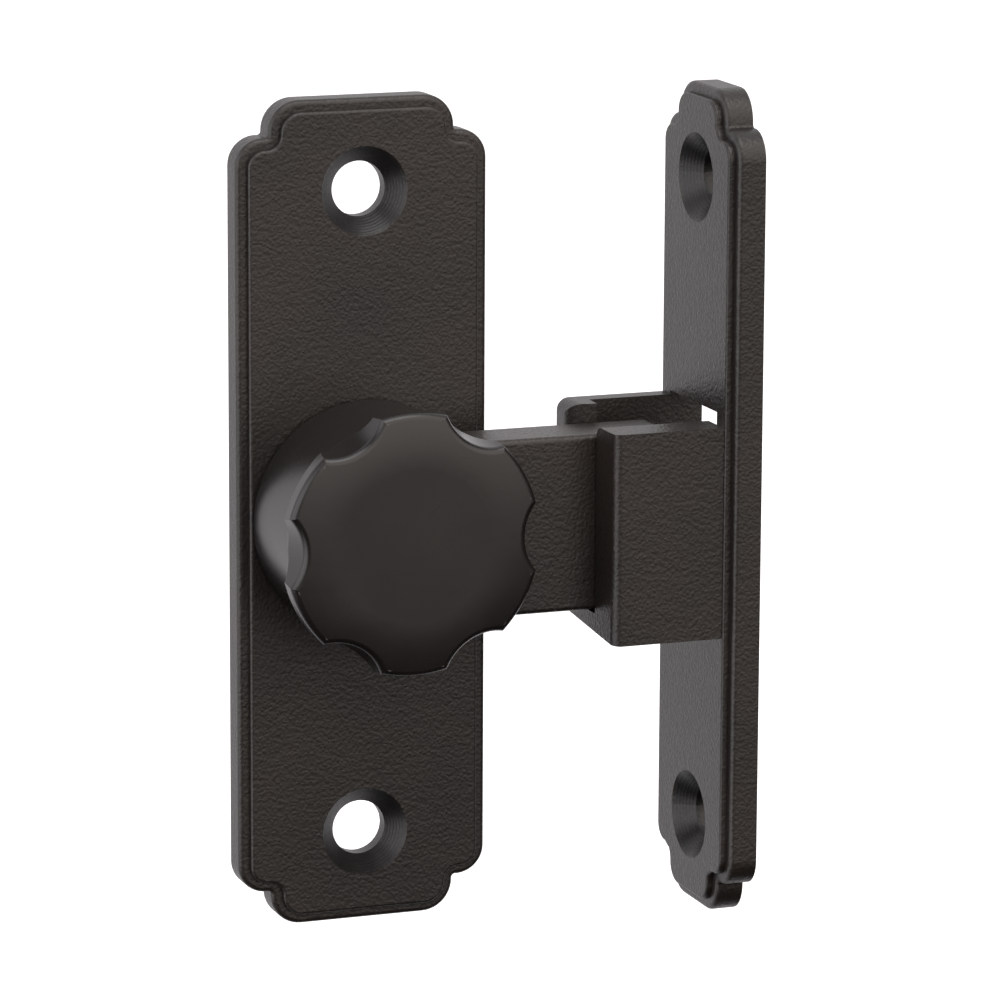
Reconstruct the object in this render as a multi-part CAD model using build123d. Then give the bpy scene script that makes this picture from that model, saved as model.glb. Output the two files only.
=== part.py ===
from build123d import *
import math
import os

# Quarter-turn flip latch with a perpendicular strike plate, in millimetres.
# Origin: centre of the latch plate's back face, on the pivot axis.
# +X runs along the flip bar towards the strike, +Z is up, and the latch faces -Y.

# Both cast plates: stepped outline, a ledge all round and a raised panel
PLATE_HEIGHT = 80.0
LATCH_WIDTH = 25.0
STRIKE_WIDTH = 18.2
LEDGE_THICK = 2.7
PANEL_RISE = 0.65
BORDER = 1.05
STEP_X = 3.3
STEP_Z = 3.5
SIDE_END = 6.2
TOP_END = 6.3
EDGE_ROUND = 0.5
PANEL_ROUND = 0.3
NOTCH_ROUND = 0.35
PLATE_THICK = LEDGE_THICK + PANEL_RISE

# Countersunk holes for 4 mm wood screws
SCREW_SPACING = 62.4
SCREW_HOLE = 5.3
SCREW_RIM = 8.6

# Pivot stack, built from the back of the latch plate towards the knob
HEAD_DIAMETER = 8.6
HEAD_THICK = 1.0
HEAD_RECESS = 0.15
FLAT_WASHER_THICK = 0.35
WAVE_HEIGHT = 0.45
WAVE_THICK = 0.22
WAVE_COUNT = 3
POINTS_PER_WAVE = 8
WASHER_OUTER = 8.4
POCKET_DIAMETER = 9.4
SHOULDER_DIAMETER = 5.0
RUNNING_GAP = 0.05
THREAD_DIAMETER = 4.0
THRUST_THICK = 0.45
THRUST_OUTER = 20.0
STACK_GAP = 0.03
SHOULDER_PAST_PLATE = 2.25
THREAD_PAST_BAR = 2.7
THREAD_HOLE_SPARE = 0.3
RECESS_LENGTH = 4.0
RECESS_WIDTH = 0.8
RECESS_DEPTH = 0.6

# Knob: round body, flared six-lobed head, flat in the middle of its front and crowned outside it
BODY_RADIUS = 11.3
WAIST_RADIUS = 11.0
HEAD_RADIUS = 12.55
KNOB_FRONT = 18.3
KNOB_BACK = PLATE_THICK + THRUST_THICK + 2 * STACK_GAP
WAIST_FROM_FRONT = 5.2
RIM_FLAT = 2.3
HEAD_ROUND = 0.7
CROWN_FLAT = 7.5
CROWN_DROP = 0.45
LOBES = 6
NOTCH_BOTTOM = 10.8
SCALLOP_RADIUS = 5.2
SCALLOP_TAPER = 9.6
SCALLOP_AHEAD = 2.0

# Flip bar
BAR_HEIGHT = 17.0
BAR_THICK = 6.0
BAR_FRONT = 13.6
BAR_TIP = 27.6
BAR_ROUND = 0.5
TIP_ROUND = 1.2
BAR_BACK = BAR_FRONT - BAR_THICK
SEAT_GAP = 0.04

# Strike plate and its cast keeper
PANEL_X = 30.5
STRIKE_FRONT = 20.2
STRIKE_RAISE = 1.0
KEEPER_SETBACK = 1.35
KEEPER_REACH = 11.0
FRONT_BOTTOM = -11.0
REAR_BOTTOM = -9.7
FRONT_WALL_TOP = 9.4
REAR_WALL_TOP = 10.2
REAR_WALL_THICK = 1.85
LIP_LENGTH = 2.6
FRONT_LEAD_IN = 1.2
LIP_LEAD_IN = 2.0
WINDOW_TOP = 10.6
BAR_SIDE_GAP = 0.3
BAR_REST_GAP = 0.3
KEEPER_EDGE = 0.9
KEEPER_CORNER = 1.2

# Cuts start and end this far outside the material they pass through
CUT_MARGIN = 1.0

HEAD_FRONT = HEAD_RECESS + HEAD_THICK
FLAT_WASHER_BACK = HEAD_FRONT + STACK_GAP
WAVE_WASHER_BACK = FLAT_WASHER_BACK + FLAT_WASHER_THICK + STACK_GAP
POCKET_DEPTH = WAVE_WASHER_BACK + WAVE_HEIGHT + STACK_GAP
WASHER_INNER = SHOULDER_DIAMETER + 2 * RUNNING_GAP
SHOULDER_END = PLATE_THICK + SHOULDER_PAST_PLATE
THREAD_END = BAR_FRONT + THREAD_PAST_BAR
STRIKE_BACK_X = PANEL_X + PLATE_THICK
STRIKE_REAR = STRIKE_FRONT - STRIKE_WIDTH
KEEPER_FRONT = STRIKE_FRONT - KEEPER_SETBACK
KEEPER_REAR = STRIKE_REAR + KEEPER_SETBACK
KEEPER_LEFT = PANEL_X - KEEPER_REACH
CHANNEL_FRONT = BAR_FRONT + BAR_SIDE_GAP
CHANNEL_REAR = BAR_BACK - BAR_SIDE_GAP
CHANNEL_FLOOR = -BAR_HEIGHT / 2 - BAR_REST_GAP
WINDOW_REAR = KEEPER_REAR + REAR_WALL_THICK
WINDOW_FRONT = STRIKE_FRONT + STRIKE_REAR - WINDOW_REAR


def box_between(x, y, z):
    """A box from pairs of limits; y is given as two depths in front of the origin plane."""
    size = (x[1] - x[0], y[1] - y[0], z[1] - z[0])
    centre = (sum(x) / 2, -sum(y) / 2, sum(z) / 2)
    return Pos(*centre) * Box(*size)


def along_y(radius, near, far):
    """A cylinder on the pivot axis between two depths in front of the origin plane."""
    turned = Rot(90, 0, 0) * Cylinder(radius, far - near)
    return Pos(0, -(near + far) / 2, 0) * turned


def corner_arcs(right, up, width, height):
    """The two convex arcs of one stepped corner, from the side to the top or bottom."""
    side = (right * width / 2, up * (height / 2 - SIDE_END))
    notch = (right * (width / 2 - STEP_X), up * (height / 2 - STEP_Z))
    end = (right * (width / 2 - TOP_END), up * height / 2)
    lower = TangentArc(side, notch, tangent=(0, up))
    upper = TangentArc(end, notch, tangent=(right, 0))
    return side, end, [lower, upper]


def plate_outline(width):
    """Flat face with straight sides and stepped corners."""
    edges = []
    sides = {}
    ends = {}
    for right in (-1, 1):
        for up in (-1, 1):
            side, end, arcs = corner_arcs(right, up, width, PLATE_HEIGHT)
            sides[right, up] = side
            ends[right, up] = end
            edges += arcs
    for sign in (-1, 1):
        edges.append(Line(sides[sign, -1], sides[sign, 1]))
        edges.append(Line(ends[-1, sign], ends[1, sign]))
    outline = make_face(Wire([arc.edge() for arc in edges]))
    notches = outline.vertices().filter_by(
        lambda v: abs(abs(v.X) - (width / 2 - STEP_X)) < 0.01
    )
    return fillet(notches, NOTCH_ROUND)


def plate_blank(width):
    """Cast plate lying in XY, back at Z = 0, with its ledge, panel and two screw holes."""
    outline = plate_outline(width)
    ledge = extrude(outline, LEDGE_THICK)
    rim = ledge.faces().sort_by(Axis.Z)[-1].edges()
    ledge = fillet(rim, EDGE_ROUND)
    panel = extrude(offset(outline, -BORDER), PLATE_THICK)
    panel = fillet(panel.faces().sort_by(Axis.Z)[-1].edges(), PANEL_ROUND)
    blank = ledge + panel
    for up in (-1, 1):
        place = Pos(0, up * SCREW_SPACING / 2, PLATE_THICK)
        blank -= place * CounterSinkHole(SCREW_HOLE / 2, SCREW_RIM / 2, 2 * PLATE_THICK)
    return blank


def stand_facing_front(blank):
    """Turn a plate from lying in XY to upright, facing -Y, back at Y = 0."""
    return Rot(90, 0, 0) * blank


def latch_plate():
    """Plate with a stepped bore: a pocket from the back for the screw head and washers."""
    plate = stand_facing_front(plate_blank(LATCH_WIDTH))
    plate -= along_y(POCKET_DIAMETER / 2, -CUT_MARGIN, POCKET_DEPTH)
    plate -= along_y(SHOULDER_DIAMETER / 2 + RUNNING_GAP, -CUT_MARGIN, PLATE_THICK + CUT_MARGIN)
    return plate


def front_wall():
    """Keeper's front wall: rounded left post, and a rounded inner top edge that leads the bar in."""
    wall = box_between(
        (KEEPER_LEFT, PANEL_X + CUT_MARGIN),
        (CHANNEL_FRONT, KEEPER_FRONT),
        (FRONT_BOTTOM, FRONT_WALL_TOP),
    )
    outer_post = wall.edges().filter_by(Axis.Z).group_by(Axis.Y)[0].sort_by(Axis.X)[0]
    wall = fillet(outer_post, KEEPER_EDGE)
    inner_top = wall.faces().sort_by(Axis.Z)[-1].edges().sort_by(Axis.Y)[-1]
    return fillet(inner_top, FRONT_LEAD_IN)


def rear_wall():
    """Keeper's thin rear wall, with a thicker rounded lip at its left end."""
    height = (FRONT_BOTTOM, REAR_WALL_TOP)
    lip = box_between((KEEPER_LEFT, KEEPER_LEFT + LIP_LENGTH), (KEEPER_REAR, CHANNEL_REAR), height)
    lip_edge = lip.edges().filter_by(Axis.Z).group_by(Axis.Y)[0].sort_by(Axis.X)[0]
    lip = fillet(lip_edge, LIP_LEAD_IN)
    wall = lip + box_between((KEEPER_LEFT, PANEL_X + CUT_MARGIN), (KEEPER_REAR, WINDOW_REAR), height)
    corner = box_between(
        (KEEPER_LEFT, KEEPER_LEFT + KEEPER_CORNER),
        (KEEPER_REAR - CUT_MARGIN, CHANNEL_REAR + CUT_MARGIN),
        (REAR_WALL_TOP - KEEPER_CORNER, REAR_WALL_TOP),
    )
    round_end = Pos(KEEPER_LEFT + KEEPER_CORNER, 0, REAR_WALL_TOP - KEEPER_CORNER) * along_y(
        KEEPER_CORNER, KEEPER_REAR - 2 * CUT_MARGIN, CHANNEL_REAR + 2 * CUT_MARGIN
    )
    return wall - (corner - round_end)


def keeper():
    """U-shaped keeper, open at the top and at its left end, its underside rising to the rear."""
    floor = box_between(
        (KEEPER_LEFT, PANEL_X + CUT_MARGIN),
        (WINDOW_REAR, CHANNEL_FRONT),
        (FRONT_BOTTOM, CHANNEL_FLOOR),
    )
    slope = Polyline(
        (-KEEPER_REAR, REAR_BOTTOM),
        (-KEEPER_FRONT, FRONT_BOTTOM),
        (-KEEPER_FRONT, FRONT_BOTTOM - CUT_MARGIN),
        (-KEEPER_REAR, FRONT_BOTTOM - CUT_MARGIN),
        close=True,
    )
    under = extrude(Plane.YZ * make_face(slope), 2 * PANEL_X)
    return front_wall() + floor + rear_wall() - under


def strike_keeper():
    """Strike plate with its keeper and the window behind the channel, in one casting."""
    blank = plate_blank(STRIKE_WIDTH)
    middle = -(STRIKE_FRONT + STRIKE_REAR) / 2
    turned = Rot(0, 0, -90) * stand_facing_front(blank)
    plate = Pos(STRIKE_BACK_X, middle, STRIKE_RAISE) * turned
    window = box_between(
        (PANEL_X, STRIKE_BACK_X + CUT_MARGIN),
        (WINDOW_REAR, WINDOW_FRONT),
        (CHANNEL_FLOOR, WINDOW_TOP),
    )
    return plate + keeper() - window


def knob_profile():
    """Half section of the knob, radius along X and depth along Y."""
    waist = KNOB_FRONT - WAIST_FROM_FRONT
    rim = KNOB_FRONT - RIM_FLAT
    face_edge = KNOB_FRONT - CROWN_DROP
    side = Line((BODY_RADIUS, KNOB_BACK), (WAIST_RADIUS, waist))
    flare = TangentArc((WAIST_RADIUS, waist), (HEAD_RADIUS, rim), tangent=side % 1)
    rim_side = Line((HEAD_RADIUS, rim), (HEAD_RADIUS, face_edge))
    crown = TangentArc((CROWN_FLAT, KNOB_FRONT), (HEAD_RADIUS, face_edge), tangent=(1, 0))
    face = Line((0, KNOB_FRONT), (CROWN_FLAT, KNOB_FRONT))
    back = Line((0, KNOB_BACK), (BODY_RADIUS, KNOB_BACK))
    centre = Line((0, KNOB_BACK), (0, KNOB_FRONT))
    edges = [piece.edge() for piece in (back, side, flare, rim_side, crown, face, centre)]
    return make_face(Wire(edges))


def scallop(angle):
    """Cone for one finger notch, thinner towards the back so that it runs out of the knob's side."""
    length = KNOB_FRONT - KNOB_BACK
    slope = math.tan(math.radians(SCALLOP_TAPER))
    front_radius = SCALLOP_RADIUS + slope * SCALLOP_AHEAD
    cone = Cone(front_radius - slope * length, front_radius, length)
    middle = KNOB_FRONT + SCALLOP_AHEAD - length / 2
    return Rot(0, 0, angle) * Pos(NOTCH_BOTTOM + SCALLOP_RADIUS, 0, middle) * cone


def knob():
    """Cast knob with a slot from the +X side for the bar and a blind hole for the screw."""
    solid = revolve(Plane.XZ * knob_profile(), Axis.Z)
    for lobe in range(LOBES):
        solid -= scallop(lobe * 360 / LOBES)
    crown = solid.faces().sort_by(Axis.Z)[-2]
    outer_edges = crown.edges().filter_by(lambda e: (e @ 0).Z < KNOB_FRONT - CROWN_DROP / 10)
    solid = fillet(outer_edges, HEAD_ROUND)
    solid = Rot(90, 0, 0) * solid
    solid -= bar_solid(SEAT_GAP, BODY_RADIUS * 2)
    solid -= along_y(SHOULDER_DIAMETER / 2 + SEAT_GAP, 0, SHOULDER_END)
    solid -= along_y(THREAD_DIAMETER / 2 + SEAT_GAP, 0, THREAD_END + THREAD_HOLE_SPARE)
    return solid


def bar_solid(gap, tip):
    """Flat bar with a round root about the pivot, grown all round by the gap."""
    half = BAR_HEIGHT / 2 + gap
    depth = BAR_THICK + 2 * gap
    root = Rot(90, 0, 0) * Cylinder(half, depth)
    run = Pos(tip / 2, 0, 0) * Box(tip, depth, 2 * half)
    return Pos(0, -(BAR_BACK + BAR_FRONT) / 2, 0) * (root + run)


def flip_bar():
    bar = bar_solid(0, BAR_TIP)
    tip_corners = bar.edges().filter_by(Axis.Y).group_by(Axis.X)[-1]
    bar = fillet(tip_corners, TIP_ROUND)
    outline = bar.faces().filter_by(Axis.Y).edges()
    bar = fillet(outline, BAR_ROUND)
    return bar - along_y(THREAD_DIAMETER / 2 + SEAT_GAP, 0, KNOB_FRONT)


def pivot_screw():
    """Shoulder screw put in from the back, with a cross recess."""
    screw = along_y(HEAD_DIAMETER / 2, HEAD_RECESS, HEAD_FRONT)
    screw += along_y(SHOULDER_DIAMETER / 2, HEAD_FRONT, SHOULDER_END)
    screw += along_y(THREAD_DIAMETER / 2, SHOULDER_END, THREAD_END)
    arm = (-RECESS_LENGTH / 2, RECESS_LENGTH / 2)
    side = (-RECESS_WIDTH / 2, RECESS_WIDTH / 2)
    slot = box_between(arm, (-CUT_MARGIN, HEAD_RECESS + RECESS_DEPTH), side)
    for angle in (0, 90):
        screw -= Rot(0, angle, 0) * slot
    return screw


def ring(outer, inner, near, far):
    """A flat washer on the pivot axis between two depths."""
    hole = along_y(inner / 2, near - CUT_MARGIN, far + CUT_MARGIN)
    return along_y(outer / 2, near, far) - hole


def flat_washer():
    far = FLAT_WASHER_BACK + FLAT_WASHER_THICK
    return ring(WASHER_OUTER, WASHER_INNER, FLAT_WASHER_BACK, far)


def wave_curve(radius, middle, swing):
    """Closed curve at one radius that rises and falls along the pivot axis."""
    steps = POINTS_PER_WAVE * WAVE_COUNT
    points = []
    for step in range(steps):
        turn = 2 * math.pi * step / steps
        depth = middle + swing * math.cos(WAVE_COUNT * turn)
        points.append((radius * math.cos(turn), -depth, radius * math.sin(turn)))
    return Spline(*points, periodic=True).edge()


def wave_washer():
    """Spring washer pressed into waves."""
    middle = WAVE_WASHER_BACK + WAVE_HEIGHT / 2
    swing = (WAVE_HEIGHT - WAVE_THICK) / 2
    inner = wave_curve(WASHER_INNER / 2, middle, swing)
    outer = wave_curve(WASHER_OUTER / 2, middle, swing)
    sheet = Face.make_surface_from_curves(inner, outer)
    return thicken(sheet, amount=WAVE_THICK / 2, both=True)


def thrust_washer():
    near = PLATE_THICK + STACK_GAP
    return ring(THRUST_OUTER, WASHER_INNER, near, near + THRUST_THICK)


PIECES = {
    "latch_plate": latch_plate,
    "strike_keeper": strike_keeper,
    "knob": knob,
    "flip_bar": flip_bar,
    "pivot_screw": pivot_screw,
    "flat_washer": flat_washer,
    "wave_washer": wave_washer,
    "thrust_washer": thrust_washer,
}

os.makedirs("parts", exist_ok=True)
for name, build in PIECES.items():
    export_step(build(), f"parts/{name}.step")
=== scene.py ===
import math

import bpy
from mathutils import Euler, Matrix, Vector


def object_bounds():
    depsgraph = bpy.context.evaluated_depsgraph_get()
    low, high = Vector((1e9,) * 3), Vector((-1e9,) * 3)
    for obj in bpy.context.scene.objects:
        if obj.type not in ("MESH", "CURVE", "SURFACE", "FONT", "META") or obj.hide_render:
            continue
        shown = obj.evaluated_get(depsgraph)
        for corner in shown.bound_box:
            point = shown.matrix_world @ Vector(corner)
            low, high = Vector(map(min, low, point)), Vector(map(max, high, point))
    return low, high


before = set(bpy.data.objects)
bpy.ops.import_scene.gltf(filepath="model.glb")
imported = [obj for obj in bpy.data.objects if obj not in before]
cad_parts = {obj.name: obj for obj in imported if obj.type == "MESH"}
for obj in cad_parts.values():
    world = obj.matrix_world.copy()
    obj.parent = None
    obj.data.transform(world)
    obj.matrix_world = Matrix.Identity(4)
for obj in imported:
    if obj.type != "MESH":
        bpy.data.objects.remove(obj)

cad_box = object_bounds()

# Camera to the object's left and a little above it: angles in degrees, distance in metres
CAMERA_YAW = 20.3
CAMERA_PITCH = 11.89
CAMERA_ROLL = -0.26
CAMERA_DISTANCE = 0.539
CAMERA_LENS = 201.57
SENSOR = 36.0
AIM_OFFSET = Vector((0.0033, 0.0074, -0.0001))

FLOOR_DROP = 0.045
FLOOR_SIZE = 9.0

# Soft panels of the studio: direction, outer and inner angle, brightness, colour
COOL = (1.0, 0.965, 0.985)
WARM = (1.0, 0.91, 0.82)
WORLD_PANELS = (
    ((0.0, 1.0, 0.05), 95, 55, 1.0, COOL),
    ((0.2, -0.7, 0.7), 75, 15, 0.75, COOL),
    ((-1.0, -0.25, 0.1), 45, 20, 2.2, COOL),
    ((0.33, -0.92, 0.577), 50, 25, 1.25, WARM),
)

PEBBLE_SIZE = 0.00032
PEBBLE_HEIGHT = 0.00004

# Countersunk screw holes: centres in metres on the plate's back face, the two directions across
# the holes, and the way the countersinks face
LATCH_HOLES = (((0, 0, 0.0312), (0, 0, -0.0312)), (1, 0, 1), (0, -1, 0))
STRIKE_HOLES = (((0.03385, -0.0111, 0.0322), (0.03385, -0.0111, -0.0302)), (0, 1, 1), (-1, 0, 0))
BACK_LAND = (0.0004, 0.0012)
COUNTERSINK_RADIUS = 0.0043
COUNTERSINK_COLOUR = (0.0060, 0.0052, 0.0052, 1)
RING_PITCH = 0.00022
RING_HEIGHT = 0.000004

COAT_LIGHT = (0.0205, 0.0156, 0.0130, 1)
COAT_DARK = (0.0105, 0.0085, 0.0080, 1)
KNOB_LIGHT = (0.0120, 0.0100, 0.0092, 1)
KNOB_DARK = (0.0080, 0.0068, 0.0066, 1)
NYLON_LIGHT = (0.020, 0.020, 0.021, 1)
NYLON_DARK = (0.012, 0.012, 0.013, 1)
ZINC = (0.62, 0.61, 0.58)
SPRING_STEEL = (0.30, 0.30, 0.31)
FLOOR_LIGHT = (0.96, 0.96, 0.96, 1)
FLOOR_DARK = (0.93, 0.93, 0.93, 1)
FLOOR_GLOW = 0.3

COAT_ROUGHNESS = (0.34, 0.46)
KNOB_ROUGHNESS = (0.23, 0.29)
NYLON_ROUGHNESS = (0.50, 0.62)
ZINC_ROUGHNESS = 0.28
SPRING_ROUGHNESS = 0.35
STEEL_ROUGHNESS_SWING = 0.06
STEEL_DULLING = 0.8
TURNING_MARKS = (900, 9000, 900)

# Heights of the finer bumps, in metres
PEEL_HEIGHT = 0.000008
KNOB_GRAIN_HEIGHT = 0.0000012
STEEL_MARK_HEIGHT = 0.000004
NYLON_GRAIN_HEIGHT = 0.00001

# Numbers of the colour sockets on a Mix node, which share their names with its other sockets
MIX_FIRST, MIX_SECOND, MIX_RESULT = 6, 7, 2


def new_material(name):
    """Fresh node material; returns it with its node tree and Principled shader."""
    material = bpy.data.materials.new(name)
    material.use_nodes = True
    tree = material.node_tree
    shader = next(n for n in tree.nodes if n.type == "BSDF_PRINCIPLED")
    return material, tree, shader


def add_node(tree, kind, **values):
    """Adds a node and sets its attributes and its inputs by name."""
    node = tree.nodes.new(kind)
    for key, value in values.items():
        if hasattr(node, key):
            setattr(node, key, value)
        else:
            node.inputs[key.replace("_", " ")].default_value = value
    return node


def place(tree):
    return add_node(tree, "ShaderNodeTexCoord").outputs["Object"]


def noise(tree, scale, detail=2.0, roughness=0.5):
    node = add_node(tree, "ShaderNodeTexNoise", Scale=scale, Detail=detail, Roughness=roughness)
    tree.links.new(place(tree), node.inputs["Vector"])
    return node.outputs["Fac"]


def spread(tree, value, low, high, from_low=0.3, from_high=0.7):
    """Maps a value from one range to another."""
    node = add_node(tree, "ShaderNodeMapRange")
    limits = {"From Min": from_low, "From Max": from_high, "To Min": low, "To Max": high}
    for name, number in limits.items():
        node.inputs[name].default_value = number
    tree.links.new(value, node.inputs["Value"])
    return node.outputs["Result"]


def blend_colours(tree, factor, first, second):
    node = add_node(tree, "ShaderNodeMix", data_type="RGBA")
    node.inputs[MIX_FIRST].default_value = first
    node.inputs[MIX_SECOND].default_value = second
    tree.links.new(factor, node.inputs["Factor"])
    return node.outputs[MIX_RESULT]


def bump(tree, height, distance, strength=1.0, under=None):
    node = add_node(tree, "ShaderNodeBump", Strength=strength, Distance=distance)
    tree.links.new(height, node.inputs["Height"])
    if under is not None:
        tree.links.new(under, node.inputs["Normal"])
    return node.outputs["Normal"]


def pebbles(tree, size):
    """Rounded grains of about the given size in metres, run together like cured powder."""
    warp = add_node(tree, "ShaderNodeTexNoise", Scale=0.5 / size, Detail=2.0)
    tree.links.new(place(tree), warp.inputs["Vector"])
    shift = add_node(tree, "ShaderNodeVectorMath", operation="MULTIPLY_ADD")
    tree.links.new(warp.outputs["Color"], shift.inputs[0])
    shift.inputs[1].default_value = (1.6 * size,) * 3
    tree.links.new(place(tree), shift.inputs[2])
    cells = add_node(tree, "ShaderNodeTexVoronoi", feature="SMOOTH_F1", Scale=1 / size, Smoothness=0.9)
    tree.links.new(shift.outputs[0], cells.inputs["Vector"])
    return cells.outputs["Distance"]


def hole_distance(tree, centres, across):
    """Distance from the nearest hole's axis, measured across the axis."""
    nearest = None
    for centre in centres:
        offset = add_node(tree, "ShaderNodeVectorMath", operation="SUBTRACT")
        tree.links.new(place(tree), offset.inputs[0])
        offset.inputs[1].default_value = centre
        flat = add_node(tree, "ShaderNodeVectorMath", operation="MULTIPLY")
        tree.links.new(offset.outputs[0], flat.inputs[0])
        flat.inputs[1].default_value = across
        length = add_node(tree, "ShaderNodeVectorMath", operation="LENGTH")
        tree.links.new(flat.outputs[0], length.inputs[0])
        if nearest is None:
            nearest = length.outputs["Value"]
            continue
        smaller = add_node(tree, "ShaderNodeMath", operation="MINIMUM")
        tree.links.new(nearest, smaller.inputs[0])
        tree.links.new(length.outputs["Value"], smaller.inputs[1])
        nearest = smaller.outputs[0]
    return nearest


def above_back(tree, centre, facing):
    """Rises from 0 on the plate's back face to 1 in the countersinks."""
    offset = add_node(tree, "ShaderNodeVectorMath", operation="SUBTRACT")
    tree.links.new(place(tree), offset.inputs[0])
    offset.inputs[1].default_value = centre
    height = add_node(tree, "ShaderNodeVectorMath", operation="DOT_PRODUCT")
    tree.links.new(offset.outputs[0], height.inputs[0])
    height.inputs[1].default_value = facing
    return spread(tree, height.outputs["Value"], 0, 1, *BACK_LAND)


def turned_rings(tree, distance, front):
    """Concentric tool rings that fade out at the countersink's rim; returns rings and fade."""
    wave = add_node(tree, "ShaderNodeMath", operation="MULTIPLY")
    tree.links.new(distance, wave.inputs[0])
    wave.inputs[1].default_value = 2 * math.pi / RING_PITCH
    sine = add_node(tree, "ShaderNodeMath", operation="SINE")
    tree.links.new(wave.outputs[0], sine.inputs[0])
    rim = spread(tree, distance, 1, 0, COUNTERSINK_RADIUS - 0.0003, COUNTERSINK_RADIUS)
    inside = add_node(tree, "ShaderNodeMath", operation="MULTIPLY")
    tree.links.new(rim, inside.inputs[0])
    tree.links.new(front, inside.inputs[1])
    fade = inside.outputs[0]
    rings = add_node(tree, "ShaderNodeMath", operation="MULTIPLY")
    tree.links.new(sine.outputs[0], rings.inputs[0])
    tree.links.new(fade, rings.inputs[1])
    return rings.outputs[0], fade


def powder_coat(name, holes=None):
    """Brown-black powder coat with a fine pebbled skin, smooth and ringed in its countersinks."""
    material, tree, shader = new_material(name)
    grain = pebbles(tree, PEBBLE_SIZE)
    ripple = noise(tree, 700, detail=2.0)
    fine = noise(tree, 5200, detail=2.0)
    cloud = noise(tree, 70, detail=3.0)
    colour = blend_colours(tree, spread(tree, cloud, 0, 1), COAT_DARK, COAT_LIGHT)
    tree.links.new(colour, shader.inputs["Base Color"])
    tree.links.new(spread(tree, fine, *COAT_ROUGHNESS), shader.inputs["Roughness"])
    swell = bump(tree, ripple, PEBBLE_HEIGHT, 0.5)
    skin = bump(tree, grain, -PEBBLE_HEIGHT, 1.0, swell)
    if holes:
        centres, across, facing = holes
        front = above_back(tree, centres[0], facing)
        rings, fade = turned_rings(tree, hole_distance(tree, centres, across), front)
        tree.links.new(spread(tree, fade, 1.0, 0.12, 0, 1), skin.node.inputs["Strength"])
        skin = bump(tree, rings, RING_HEIGHT, 0.8, skin)
        shade = blend_colours(tree, fade, COAT_DARK, COUNTERSINK_COLOUR)
        tree.links.new(colour, shade.node.inputs[MIX_FIRST])
        tree.links.new(shade, shader.inputs["Base Color"])
    tree.links.new(bump(tree, fine, PEBBLE_HEIGHT / 12, 0.6, skin), shader.inputs["Normal"])
    return material


def satin_paint():
    """Smooth satin paint of the knob."""
    material, tree, shader = new_material("satin_paint")
    cloud = noise(tree, 110, detail=3.0)
    orange_peel = noise(tree, 650, detail=1.0)
    fine = noise(tree, 4200, detail=2.0)
    colour = blend_colours(tree, spread(tree, cloud, 0, 1), KNOB_DARK, KNOB_LIGHT)
    tree.links.new(colour, shader.inputs["Base Color"])
    tree.links.new(spread(tree, cloud, *KNOB_ROUGHNESS), shader.inputs["Roughness"])
    peel = bump(tree, orange_peel, PEEL_HEIGHT, 0.5)
    tree.links.new(bump(tree, fine, KNOB_GRAIN_HEIGHT, 0.5, peel), shader.inputs["Normal"])
    return material


def plated_steel(name, tint, roughness):
    """Plated or sprung steel with fine turning marks about the pivot axis."""
    material, tree, shader = new_material(name)
    stretch = add_node(tree, "ShaderNodeMapping")
    stretch.inputs["Scale"].default_value = TURNING_MARKS
    tree.links.new(place(tree), stretch.inputs["Vector"])
    marks = add_node(tree, "ShaderNodeTexNoise", Scale=1.0, Detail=3.0)
    tree.links.new(stretch.outputs["Vector"], marks.inputs["Vector"])
    dull = tuple(c * STEEL_DULLING for c in tint)
    colour = blend_colours(tree, spread(tree, marks.outputs["Fac"], 0, 1), (*dull, 1), (*tint, 1))
    tree.links.new(colour, shader.inputs["Base Color"])
    low, high = roughness - STEEL_ROUGHNESS_SWING, roughness + STEEL_ROUGHNESS_SWING
    tree.links.new(spread(tree, marks.outputs["Fac"], low, high), shader.inputs["Roughness"])
    tree.links.new(bump(tree, marks.outputs["Fac"], STEEL_MARK_HEIGHT, 0.5), shader.inputs["Normal"])
    shader.inputs["Metallic"].default_value = 1.0
    return material


def nylon():
    """Matt black nylon with a faint moulded grain."""
    material, tree, shader = new_material("nylon")
    grain = noise(tree, 2500, detail=2.0)
    colour = blend_colours(tree, spread(tree, grain, 0, 1), NYLON_DARK, NYLON_LIGHT)
    tree.links.new(colour, shader.inputs["Base Color"])
    tree.links.new(spread(tree, grain, *NYLON_ROUGHNESS), shader.inputs["Roughness"])
    tree.links.new(bump(tree, grain, NYLON_GRAIN_HEIGHT, 0.5), shader.inputs["Normal"])
    return material


def paint(material, *names):
    for name in names:
        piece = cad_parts[name]
        piece.data.materials.clear()
        piece.data.materials.append(material)


def pale_floor(centre, level):
    """Large pale floor below the object. It throws no light on it and isn't mirrored in it."""
    bpy.ops.mesh.primitive_plane_add(size=FLOOR_SIZE, location=(centre.x, centre.y, level))
    floor = bpy.context.object
    floor.name = "floor"
    material, tree, shader = new_material("pale_floor")
    shader.inputs["Roughness"].default_value = 0.8
    shader.inputs["Emission Color"].default_value = (1, 1, 1, 1)
    shader.inputs["Emission Strength"].default_value = FLOOR_GLOW
    mottle = noise(tree, 3, detail=2.0)
    colour = blend_colours(tree, mottle, FLOOR_DARK, FLOOR_LIGHT)
    tree.links.new(colour, shader.inputs["Base Color"])
    floor.data.materials.append(material)
    floor.visible_diffuse = False
    floor.visible_glossy = False


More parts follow.
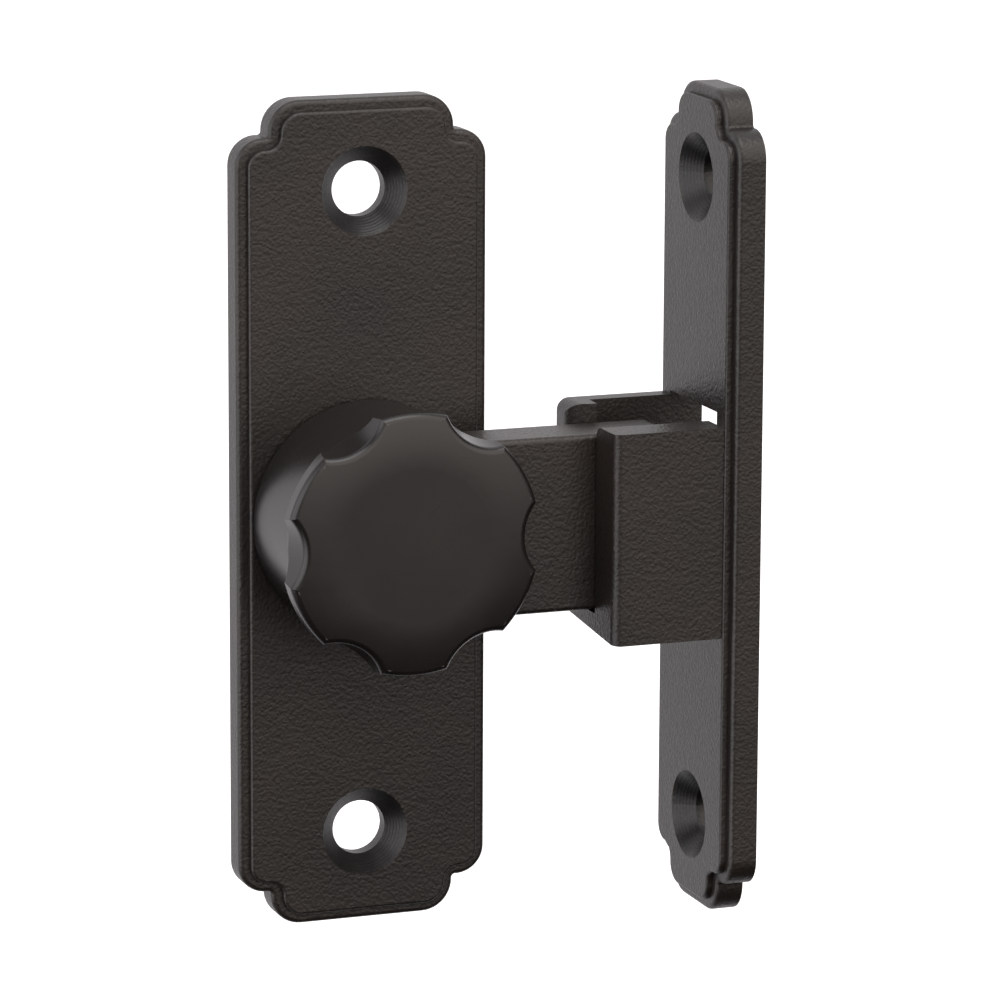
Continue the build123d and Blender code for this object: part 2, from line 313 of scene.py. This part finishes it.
def panel_glow(tree, direction, outer, inner, strength):
    """Brightness of a soft panel, rising between two angles in degrees from its middle."""
    coordinates = add_node(tree, "ShaderNodeTexCoord")
    cosine = add_node(tree, "ShaderNodeVectorMath", operation="DOT_PRODUCT")
    tree.links.new(coordinates.outputs["Generated"], cosine.inputs[0])
    cosine.inputs[1].default_value = Vector(direction).normalized()
    limits = (math.cos(math.radians(outer)), math.cos(math.radians(inner)))
    glow = spread(tree, cosine.outputs["Value"], 0, strength, *limits)
    glow.node.interpolation_type = "SMOOTHSTEP"
    return glow


def studio_world():
    """White to the camera; the panels light the object from behind, above, the left and the front."""
    world = bpy.data.worlds.new("studio")
    bpy.context.scene.world = world
    world.use_nodes = True
    tree = world.node_tree
    tree.nodes.clear()
    total = None
    for direction, outer, inner, strength, colour in WORLD_PANELS:
        glow = add_node(tree, "ShaderNodeVectorMath", operation="SCALE")
        glow.inputs[0].default_value = colour
        brightness = panel_glow(tree, direction, outer, inner, strength)
        tree.links.new(brightness, glow.inputs["Scale"])
        if total is None:
            total = glow.outputs[0]
            continue
        add = add_node(tree, "ShaderNodeVectorMath", operation="ADD")
        tree.links.new(total, add.inputs[0])
        tree.links.new(glow.outputs[0], add.inputs[1])
        total = add.outputs[0]
    lit = add_node(tree, "ShaderNodeBackground", Strength=1.0)
    tree.links.new(total, lit.inputs["Color"])
    plain = add_node(tree, "ShaderNodeBackground", Color=(1, 1, 1, 1), Strength=1.0)
    ray = add_node(tree, "ShaderNodeLightPath")
    mix = add_node(tree, "ShaderNodeMixShader")
    tree.links.new(ray.outputs["Is Camera Ray"], mix.inputs["Fac"])
    tree.links.new(lit.outputs[0], mix.inputs[1])
    tree.links.new(plain.outputs[0], mix.inputs[2])
    output = add_node(tree, "ShaderNodeOutputWorld")
    tree.links.new(mix.outputs[0], output.inputs["Surface"])


def softbox(name, aim, azimuth, elevation, distance, size, power):
    """Area light on a sphere about the aim point; azimuth 0 is in front, negative is left."""
    turn, rise = math.radians(azimuth), math.radians(elevation)
    away = Vector((math.sin(turn) * math.cos(rise), -math.cos(turn) * math.cos(rise), math.sin(rise)))
    data = bpy.data.lights.new(name, "AREA")
    data.shape = "RECTANGLE"
    data.size, data.size_y = size
    data.energy = power
    light = bpy.data.objects.new(name, data)
    light.location = aim + away * distance
    light.rotation_euler = away.to_track_quat("Z", "Y").to_euler()
    bpy.context.collection.objects.link(light)


def camera(aim):
    """Camera at the stated yaw, pitch and roll, looking at the aim point."""
    yaw, pitch = math.radians(CAMERA_YAW), math.radians(CAMERA_PITCH)
    data = bpy.data.cameras.new("camera")
    data.lens = CAMERA_LENS
    data.sensor_width = SENSOR
    view = bpy.data.objects.new("camera", data)
    turn = Euler((math.pi / 2 - pitch, math.radians(CAMERA_ROLL), -yaw), "XYZ")
    view.rotation_euler = turn
    view.location = aim + turn.to_matrix() @ Vector((0, 0, CAMERA_DISTANCE))
    bpy.context.collection.objects.link(view)
    bpy.context.scene.camera = view


low, high = (Vector(corner) for corner in cad_box)
centre = (low + high) / 2

paint(powder_coat("latch_coat", LATCH_HOLES), "latch_plate")
paint(powder_coat("strike_coat", STRIKE_HOLES), "strike_keeper")
paint(powder_coat("bar_coat"), "flip_bar")
paint(satin_paint(), "knob")
paint(plated_steel("zinc_plate", ZINC, ZINC_ROUGHNESS), "pivot_screw", "flat_washer")
paint(plated_steel("spring_steel", SPRING_STEEL, SPRING_ROUGHNESS), "wave_washer")
paint(nylon(), "thrust_washer")

pale_floor(centre, low.z - FLOOR_DROP)
studio_world()
softbox("top", centre, azimuth=-10, elevation=72, distance=0.8, size=(0.7, 0.5), power=2.5)
camera(centre + AIM_OFFSET)

bpy.context.scene.view_settings.view_transform = "Standard"
